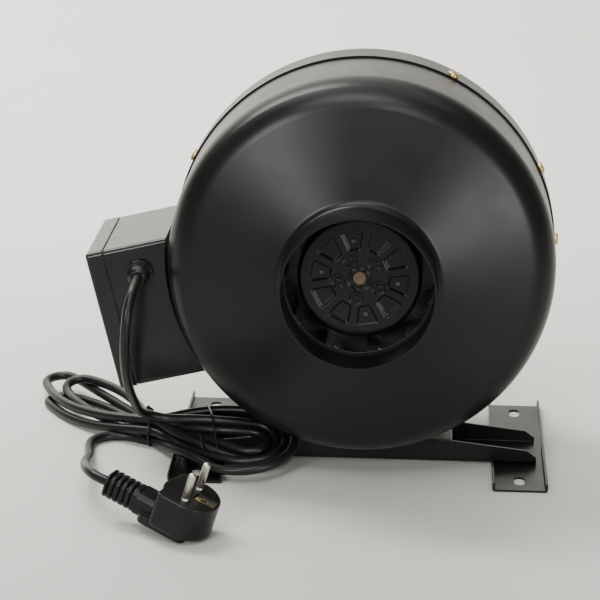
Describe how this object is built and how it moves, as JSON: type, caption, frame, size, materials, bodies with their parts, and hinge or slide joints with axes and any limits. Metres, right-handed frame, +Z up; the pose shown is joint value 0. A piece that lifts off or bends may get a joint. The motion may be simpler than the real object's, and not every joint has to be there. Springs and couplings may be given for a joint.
{
  "type": "inline duct fan",
  "caption": "Round steel inline duct fan on a channel bracket, with an external-rotor motor, a side terminal box, a coiled mains cord and an angled plug.",
  "frame": {"origin": "centre of the four foot slots, in the plane of the feet's undersides", "axes": "+X is the air flow, from the inlet at -X to the outlet; +Y points to the terminal box; +Z is up"},
  "size_m": [0.2804, 0.3673, 0.2694],
  "materials": {
    "casing_black": "satin black paint on pressed steel",
    "bracket_black": "satin black paint on bent steel",
    "rotor_black": "semi-gloss black paint",
    "impeller_black": "satin black paint",
    "box_plastic": "fine black plastic, satin",
    "yellow_zinc": "yellow passivated zinc",
    "zinc_steel": "bright zinc",
    "shaft_steel": "turned end, slightly coppery",
    "bearing_steel": "polished",
    "magnet_grey": "matt",
    "core_steel": "laminated",
    "winding_copper": "enamelled copper",
    "flange_aluminium": "cast",
    "seal_rubber": "matt",
    "terminal_cream": "matt",
    "capacitor_white": "gloss",
    "gland_black": "satin",
    "cord_black": "satin PVC sheath",
    "tie_black": "satin",
    "plug_black": "fine satin",
    "plug_nickel": "nickel-plated, satin",
    "plug_brass": "bright"
  },
  "bodies": {
    "fan_body": {"box_pad": "seal_rubber", "box_screws": "zinc_steel", "cable_gland": "gland_black", "casing_bolts": "zinc_steel", "casing_nuts": "zinc_steel", "casing_washers": "zinc_steel", "cord_drop": "cord_black", "cord_hank": "cord_black", "cord_tail": "cord_black", "crossbar": "bracket_black", "front_bearing": "bearing_steel", "gland_lock_nut": "gland_black", "gland_nut": "gland_black", "inlet_face": "casing_black", "inlet_spigot": "casing_black", "inlet_wall": "casing_black", "left_foot": "bracket_black", "lid_screws": "zinc_steel", "lid_seal": "seal_rubber", "motor_flange": "flange_aluminium", "motor_screws": "zinc_steel", "motor_support": "zinc_steel", "outlet_face": "casing_black", "outlet_spigot": "casing_black", "outlet_wall": "casing_black", "plug_bend_protector": "plug_black", "plug_body": "plug_black", "plug_earth_clip": "plug_brass", "plug_pins": "plug_nickel", "rear_bearing": "bearing_steel", "right_foot": "bracket_black", "run_capacitor": "capacitor_white", "saddle": "bracket_black", "seam_screws": "yellow_zinc", "stator_core": "core_steel", "stator_windings": "winding_copper", "support_screws": "yellow_zinc", "terminal_block": "terminal_cream", "terminal_box_body": "box_plastic", "terminal_box_lid": "box_plastic", "wire_grommet": "seal_rubber", "wire_tie_1": "tie_black", "wire_tie_2": "tie_black"},
    "rotor": {"rotor_cap": "rotor_black", "rotor_rivets": "rotor_black", "balance_rivets": "zinc_steel", "magnet_ring": "magnet_grey", "motor_shaft": "shaft_steel", "impeller_back_plate": "impeller_black", "impeller_front_ring": "impeller_black", "impeller_blades": "impeller_black"}
  },
  "joints": [
    {"name": "rotor_spin", "type": "hinge", "parent": "fan_body", "child": "rotor", "pos_m": [0, 0, 0.143], "axis": [1, 0, 0], "continuous": true}
  ]
}
